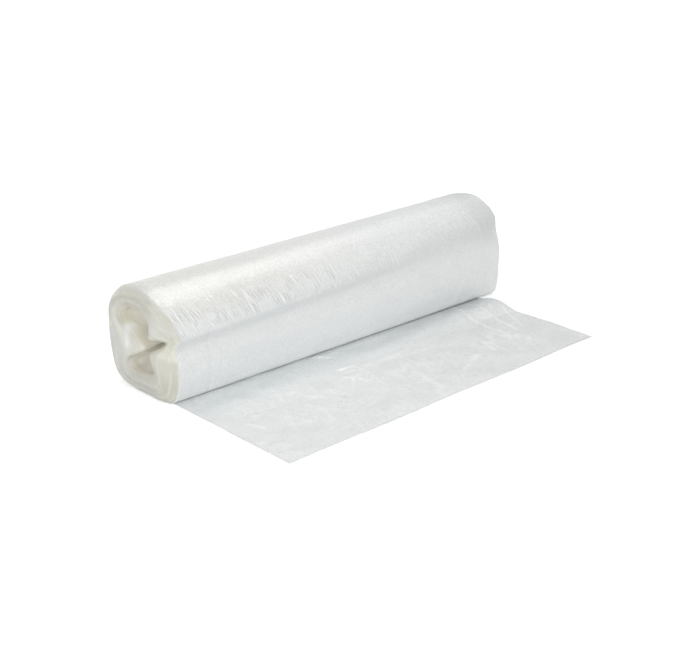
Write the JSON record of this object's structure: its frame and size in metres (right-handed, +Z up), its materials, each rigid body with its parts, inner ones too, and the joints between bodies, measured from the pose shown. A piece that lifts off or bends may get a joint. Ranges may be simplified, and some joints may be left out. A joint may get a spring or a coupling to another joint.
{
  "type": "bin bag roll",
  "caption": "Coreless roll of thin translucent bin bags with a collapsed centre, resting on its own pulled-out tail.",
  "frame": {"origin": "on the floor, under the middle of the outline of the roll and its tail", "axes": "+X along the roll, away from the end with the open three-lobed centre; the tail lies towards -Y; +Z up"},
  "size_m": [0.3102, 0.1782, 0.074],
  "materials": {
    "film": "satin, finely crinkled, translucent white polyethylene film"
  },
  "bodies": {
    "root": {"bag_roll": "film"}
  },
  "joints": []
}
